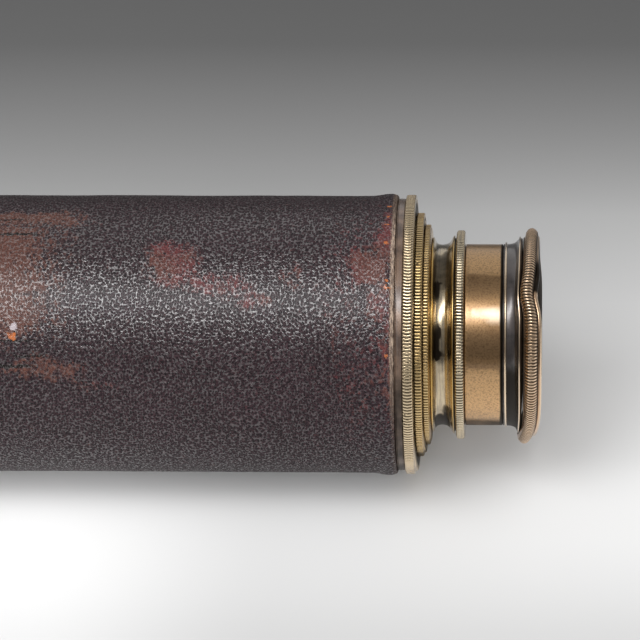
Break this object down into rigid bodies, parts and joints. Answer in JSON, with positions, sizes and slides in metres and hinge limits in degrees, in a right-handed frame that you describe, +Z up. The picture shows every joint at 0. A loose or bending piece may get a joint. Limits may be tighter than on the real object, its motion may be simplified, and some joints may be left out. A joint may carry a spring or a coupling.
{
  "type": "hand telescope",
  "caption": "Leather-covered brass hand telescope with nested draw tubes, milled bushes, eyepiece with shutter, and slip-on dust cap.",
  "frame": {"origin": "middle of the closed telescope's bounding box, at the table it lies on", "axes": "+X along the optical axis towards the eyepiece, +Z up, away from the table; the telescope lies on its side"},
  "size_m": [0.256, 0.059, 0.059],
  "materials": {
    "leather": "pebble-grained hide, rubbed to red-brown in places",
    "brass_draw": "drawn tube, satin, lightly tarnished",
    "brass_collar": "dull grey-brown patina, satin",
    "brass_polished": "polished, aged",
    "brass_blackened": "blackened, matt",
    "optical_glass": "polished",
    "brass_sleeve": "satin, tan-bronze lacquer",
    "brass_oxidised": "dark oxidised, satin",
    "copper_worn": "milled, worn to a copper colour"
  },
  "bodies": {
    "barrel": {"leather_cover": "leather", "barrel_tube": "brass_draw", "barrel_collar": "brass_collar", "barrel_bush": "brass_polished", "objective_collar": "brass_polished", "objective_cell": "brass_blackened", "crown_lens": "optical_glass", "flint_lens": "optical_glass", "objective_retaining_ring": "brass_blackened"},
    "dust_cap": {"dust_cap": "brass_polished"},
    "draw_1": {"draw_1_tube": "brass_draw", "draw_1_stop_ring": "brass_blackened", "draw_1_bush": "brass_polished"},
    "draw_2": {"draw_2_tube": "brass_draw", "draw_2_stop_ring": "brass_blackened", "draw_2_bush": "brass_polished"},
    "draw_3": {"draw_3_tube": "brass_draw", "draw_3_stop_ring": "brass_blackened", "erector_tube": "brass_blackened", "erector_front_cell": "brass_blackened", "erector_front_lens": "optical_glass", "erector_rear_cell": "brass_blackened", "erector_rear_lens": "optical_glass", "erector_stop": "brass_blackened", "eyepiece_collar": "brass_polished", "eyepiece_sleeve": "brass_sleeve", "eyepiece_inner_tube": "brass_blackened", "field_lens_cell": "brass_blackened", "field_lens": "optical_glass", "field_stop": "brass_blackened", "eye_lens_cell": "brass_blackened", "eye_lens": "optical_glass", "eye_cup": "brass_oxidised", "eye_cap": "copper_worn", "shutter_rivet": "brass_polished"},
    "eye_shutter": {"eye_shutter": "brass_polished", "shutter_knob": "brass_polished"}
  },
  "joints": [
    {"name": "draw_1_slide", "type": "slide", "parent": "barrel", "child": "draw_1", "axis": [1, 0, 0], "range_m": [0, 0.152]},
    {"name": "draw_2_slide", "type": "slide", "parent": "draw_1", "child": "draw_2", "axis": [1, 0, 0], "range_m": [0, 0.146]},
    {"name": "draw_3_slide", "type": "slide", "parent": "draw_2", "child": "draw_3", "axis": [1, 0, 0], "range_m": [0, 0.138]},
    {"name": "eye_shutter_hinge", "type": "hinge", "parent": "draw_3", "child": "eye_shutter", "pos_m": [0.12585, 0, 0.02], "axis": [1, 0, 0], "range_deg": [0, 66]},
    {"name": "dust_cap_slide", "type": "slide", "parent": "barrel", "child": "dust_cap", "axis": [-1, 0, 0], "range_m": [0, 0.03]}
  ]
}
